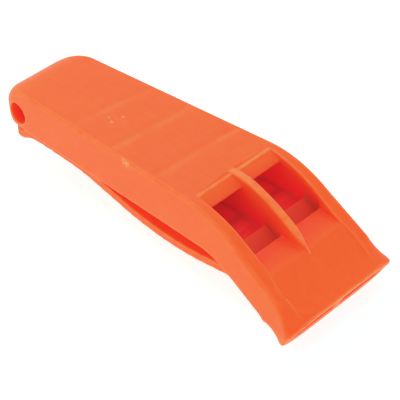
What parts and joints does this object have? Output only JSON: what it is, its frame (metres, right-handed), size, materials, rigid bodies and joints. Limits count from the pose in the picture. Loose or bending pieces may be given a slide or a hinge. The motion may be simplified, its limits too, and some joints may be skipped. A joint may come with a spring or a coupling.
{
  "type": "training whistle",
  "caption": "Flat pealess whistle with paired sound windows, a bent flared mouthpiece, a lanyard eye and a spring pocket clip.",
  "frame": {"origin": "under the middle of the whistle's length and width, at the height of its lowest point, the underside of the lower lip", "axes": "+X along the length from the lanyard eye to the mouthpiece, +Z out of the flat top face, +Y to the left seen from the tail"},
  "size_m": [0.0776, 0.028, 0.0191],
  "materials": {
    "shell_plastic": "satin moulded orange plastic",
    "base_plastic": "satin moulded orange plastic",
    "clip_plastic": "satin moulded orange plastic"
  },
  "bodies": {
    "body": {"body_shell": "shell_plastic", "base_plate": "base_plastic"},
    "clip": {"pocket_clip": "clip_plastic"}
  },
  "joints": [
    {"name": "clip_flex", "type": "hinge", "parent": "body", "child": "clip", "pos_m": [0.02262, 0, 0.00704], "axis": [0, -1, 0], "range_deg": [0, 5], "stiffness_Nm_per_rad": 4}
  ]
}
